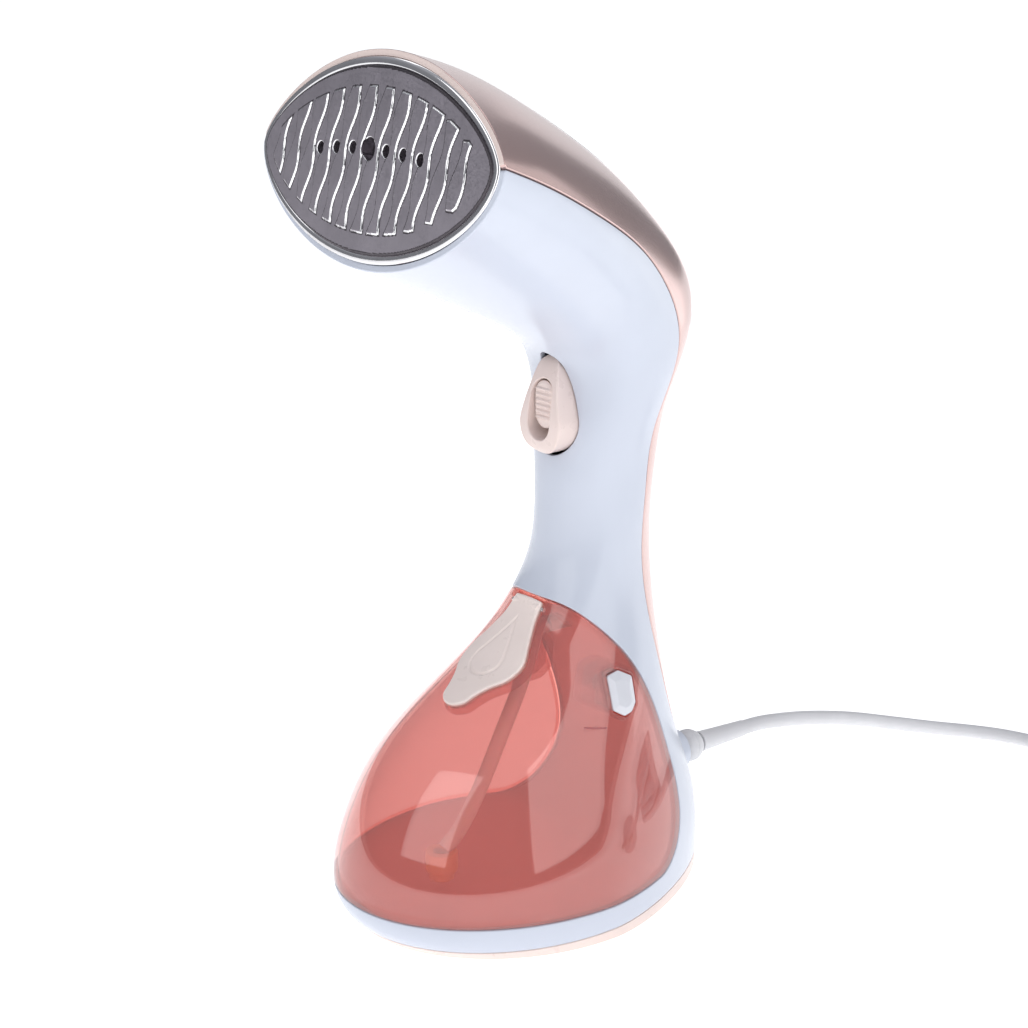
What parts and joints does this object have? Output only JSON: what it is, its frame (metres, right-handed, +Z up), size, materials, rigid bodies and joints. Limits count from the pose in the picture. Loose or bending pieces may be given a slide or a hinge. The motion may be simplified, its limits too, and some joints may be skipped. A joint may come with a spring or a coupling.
{
  "type": "garment steamer",
  "caption": "Handheld garment steamer: wide lens-shaped steam head on a curved handle, pull-off see-through water tank with filler cap, swivelling mains cord.",
  "frame": {"origin": "on the table, under the middle of the handle's width, where the base stands", "axes": "+Z up; -Y is the front that the steam head faces; +X to the right seen from the front"},
  "size_m": [0.2145, 0.3635, 0.285],
  "materials": {
    "white_shell": "glossy white moulding",
    "mauve_metallic": "satin metallic mauve paint",
    "blush_plastic": "pale pink moulding",
    "rubber_grey": "matte rubber",
    "steel": "bright drawn steel",
    "soleplate_grey": "satin dark grey coating",
    "chrome_rim": "polished",
    "cast_aluminium": "as cast",
    "brown_resin": "moulded resin",
    "black_plastic": "moulded black",
    "white_inner": "moulded natural white",
    "brass": "turned brass",
    "silicone_clear": "milky silicone tube",
    "pump_grey": "moulded grey",
    "board_green": "circuit board",
    "wire_red": "wire insulation",
    "panel_dark": "dark glossy inlay",
    "button_satin": "satin metallic",
    "lens_white": "frosted light pipe",
    "tank_rose": "see-through rose moulding",
    "cap_rubber": "soft seal rubber",
    "sinker_resin": "moulded weight",
    "latch_white": "glossy white moulding",
    "cord_white": "soft white sheath",
    "plug_metal": "nickel plated pins"
  },
  "bodies": {
    "housing": {"front_housing": "white_shell", "rear_cover": "mauve_metallic", "base_plate": "blush_plastic", "feet": "rubber_grey", "head_gasket": "rubber_grey", "base_screws": "steel", "heater_screws": "steel", "pump_spring": "steel", "trigger_spring": "steel", "steam_plate": "soleplate_grey", "plate_rim": "chrome_rim", "heater_block": "cast_aluminium", "chamber_lid": "cast_aluminium", "heater_mounts": "brown_resin", "thermostat": "black_plastic", "microswitch": "black_plastic", "board_parts": "black_plastic", "thermal_fuse": "white_inner", "inlet_tube": "white_inner", "tank_socket": "white_inner", "switch_bracket": "white_inner", "terminal_block": "white_inner", "gland_socket": "white_inner", "steam_nozzle": "brass", "water_tube": "silicone_clear", "pump_body": "pump_grey", "control_board": "board_green", "inner_wires": "wire_red", "top_panel": "panel_dark", "indicator_lens": "lens_white", "cord": "cord_white", "cord_coil": "cord_white", "cord_tail": "cord_white", "plug_body": "cord_white", "plug_pins": "plug_metal"},
    "tank": {"tank_shell": "tank_rose", "tank_back": "tank_rose", "cap_pin": "steel", "suction_hose": "silicone_clear", "hose_sinker": "sinker_resin", "tank_outlet": "white_inner", "outlet_seal": "cap_rubber", "latch_spring_left": "steel", "latch_spring_right": "steel"},
    "cap": {"filler_cap": "blush_plastic", "cap_plug": "cap_rubber"},
    "latch_button_left": {"latch_left": "latch_white"},
    "latch_button_right": {"latch_right": "latch_white"},
    "steam_trigger": {"trigger": "blush_plastic"},
    "lock": {"lock_slider": "blush_plastic"},
    "lever": {"switch_lever": "steel"},
    "button": {"power_button": "button_satin"},
    "plunger": {"pump_plunger": "steel"},
    "swivel": {"cord_ball": "cord_white", "cord_sleeve": "cord_white"}
  },
  "joints": [
    {"name": "tank_slide", "type": "slide", "parent": "housing", "child": "tank", "axis": [0, -1, 0], "range_m": [0, 0.12]},
    {"name": "cap_hinge", "type": "hinge", "parent": "tank", "child": "cap", "pos_m": [0, 0.00626, 0.10138], "axis": [-1, 0, 0], "range_deg": [0, 95]},
    {"name": "latch_left_press", "type": "slide", "parent": "tank", "child": "latch_button_left", "axis": [1, 0, 0], "range_m": [0, 0.0025], "stiffness_N_per_m": 1200, "springref_m": -0.001, "deforming": ["latch_spring_left"]},
    {"name": "latch_right_press", "type": "slide", "parent": "tank", "child": "latch_button_right", "axis": [-1, 0, 0], "range_m": [0, 0.0025], "stiffness_N_per_m": 1200, "springref_m": -0.001, "deforming": ["latch_spring_right"]},
    {"name": "trigger_press", "type": "slide", "parent": "housing", "child": "steam_trigger", "axis": [0, 1, 0], "range_m": [0, 0.0025], "stiffness_N_per_m": 1200, "springref_m": -0.0015, "deforming": ["trigger_spring"]},
    {"name": "lock_slide", "type": "slide", "parent": "steam_trigger", "child": "lock", "axis": [0, 0, -1], "range_m": [0, 0.003]},
    {"name": "switch_lever_turn", "type": "hinge", "parent": "housing", "child": "lever", "pos_m": [0, 0.0295, 0.1755], "axis": [1, 0, 0], "range_deg": [0, 12]},
    {"name": "power_press", "type": "slide", "parent": "housing", "child": "button", "axis": [0, -0.4695, -0.8829], "range_m": [0, 0.0012], "stiffness_N_per_m": 2000, "springref_m": -0.0008},
    {"name": "pump_stroke", "type": "slide", "parent": "housing", "child": "plunger", "axis": [0, 0, 1], "range_m": [0, 0.002], "stiffness_N_per_m": 800, "springref_m": -0.0008, "deforming": ["pump_spring"]},
    {"name": "cord_swivel", "type": "hinge", "parent": "housing", "child": "swivel", "pos_m": [0, 0.081, 0.032], "axis": [0, 1, 0], "continuous": true}
  ],
  "couplings": [
    {"joint": "switch_lever_turn", "follows": "trigger_press", "rad_per_m": 80}
  ]
}
